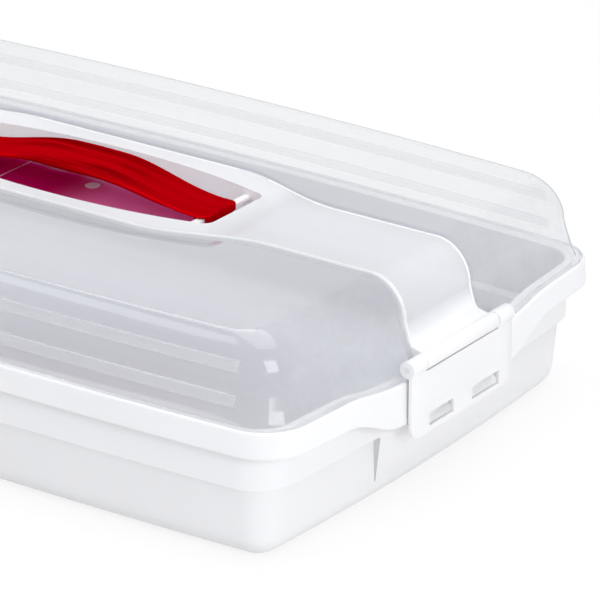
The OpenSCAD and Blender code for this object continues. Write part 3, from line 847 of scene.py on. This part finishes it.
# The grip's red, the darker red of its painted shade streaks, and the stretch of the noise that lays out
# those streaks
RED_BRIGHT, RED_PAINTED_SHADE, RED_STRETCH = (0.43, 0.0, 0.003), (0.2, 0.0, 0.001), (9, 130, 9)


def glossy_red(name, gain):
    """Deep red with painted shade in darker streaks along the grip towards its middle. Gain makes it
    brighter; above 1 it paints a highlight.
    """
    material = plastic(name, (0.4, 0.0, 0.004), 0.2, 60, 0.03, Specular_IOR_Level=0.0)
    net = Net(material, keep=True)
    x, _, _, here = net.place()
    streaks = net.span(net.noise(here, 1.0, 4, RED_STRETCH), 0.4, 0.62)
    middle = net.span(net.math("ABSOLUTE", x), 0.02, 0.06, 1.0, 0.25)
    painted_shade = net.math("MULTIPLY", streaks, middle)
    bright, deep = [(red * gain, green, blue) for red, green, blue in (RED_BRIGHT, RED_PAINTED_SHADE)]
    red = net.mix(painted_shade, bright, deep)
    net.feed(net.nodes["Principled BSDF"].inputs["Base Color"], red)
    return material


def foot_lip(side):
    """Lip that turns down past the bar."""
    near, tip = BAR_X + BAR_W / 2 + RUN_GAP + 0.2, GRIP_L / 2
    plan = [(x, -grip_half_at(x)) for x in spread(near, tip, 8)]
    plan += [(x, grip_half_at(x)) for x in spread(tip, near, 8)]
    lip = prism("lip", [(side * x, side * y) for x, y in plan], FOOT_TOP - LIP_DROP, FOOT_TOP - 0.9)
    return bevel(lip, 0.4, 2, 60)


def foot_hook(side):
    """Hook that goes down before the bar and under it."""
    neck, end = BAR_X - BAR_W / 2 - RUN_GAP, BAR_X + BAR_W / 2
    hook_top, low = BAR_TOP - BAR_T - REST_GAP - GRIP_LIFT, FLOOR_Z + REST_GAP
    profile = [(neck - 2, FOOT_TOP - 1), (neck, FOOT_TOP - 1), (neck, hook_top), (end, hook_top),
               (end, low), (neck - 2, low)]
    half = grip_half_at(end) - 1
    hook = side_prism("hook", [(side * x, z) for x, z in profile], -half, half)
    return bevel(hook, 0.3, 2)


def make_clip(side, body, node, material):
    """A flap with two ears on the pin, two windows, and three hooks under the rim's skirt."""
    def flap_cut(y0, y1, z0, z1):
        x0, x1 = FLAP_IN - 1, FLAP_IN + CLIP_T + 1
        return prism("cut", [(x0, y0), (x1, y0), (x1, y1), (x0, y1)], z0, z1)

    w = CLIP_W / 2
    corner = [(-w, PIN_Z)]
    corner += [(-w + CLIP_R - CLIP_R * cos(t), CLIP_LOW_Z + CLIP_R - CLIP_R * sin(t))
               for t in [radians(a) for a in spread(0, 90, 8)]]
    edge = corner + [(-y, z) for y, z in reversed(corner)]
    vertices = [(x, y, z) for x in (FLAP_IN, FLAP_IN + CLIP_T) for y, z in edge]
    n = len(edge)
    faces = [tuple(range(n)), tuple(range(2 * n - 1, n - 1, -1))]
    faces += [(i, n + i, n + (i + 1) % n, (i + 1) % n) for i in range(n)]
    flap = new_object("clip_flap", vertices, faces)
    ears = [side_prism("ear", round_side(PIN_X, PIN_Z, KNUCKLE_R), y0, y1)
            for y0, y1 in ((-w, -EAR_IN), (EAR_IN, w))]
    hooks = [side_prism("hook", [(FLAP_IN - HOOK_REACH, HOOK_Z), (FLAP_IN + 0.5, HOOK_Z),
                                 (FLAP_IN + 0.5, HOOK_Z - 4), (FLAP_IN - HOOK_REACH, HOOK_Z - 1.4)], y0, y1)
             for y0, y1 in HOOK_SPANS]
    combine(flap, ears + hooks, "UNION")
    room = side_prism("room", round_side(PIN_X, PIN_Z, KNUCKLE_R + RUN_GAP, 64), -EAR_IN, EAR_IN)
    above = flap_cut(-EAR_IN, EAR_IN, PIN_Z - KNUCKLE_R, PIN_Z + 2 * KNUCKLE_R)
    windows = [flap_cut(y0, y1, CLIP_LOW_Z + 3, HOOK_Z + 2) for y0, y1 in WINDOW_SPANS]
    combine(flap, [room, above] + windows, "DIFFERENCE")
    bevel(flap, 0.35, 2)
    combine(flap, [pin_hole(1, PIN_GRIP)], "DIFFERENCE")
    if side < 0:
        flap.data.transform(Matrix.Rotation(pi, 4, "Z"))
    flap.name = node + "_moulding"
    smooth(flap, 34)
    finish_piece(flap, body, "clip_milky", material, node)


def make_clips():
    milky = plastic("clip_milky", (0.97, 0.97, 0.975), 0.35, 1200, 0.1, Alpha=0.93)
    make_clip(1, "front_catch", "front_clip", milky)
    make_clip(-1, "rear_catch", "rear_clip", milky)


def finish_pins():
    """The pins' own shapes stay, with a moulded white in place of their plain colour."""
    white = plastic("pin_white", (0.8, 0.8, 0.8), 0.4, 800, 0.05)
    for pin in ("front_hinge_pin", "rear_hinge_pin"):
        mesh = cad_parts[pin].data
        mesh.materials.clear()
        mesh.materials.append(white)


make_camera()
make_studio()
make_floor()
make_tray()
make_dome()
make_band()
make_keeper()
make_handle()
make_clips()
finish_pins()
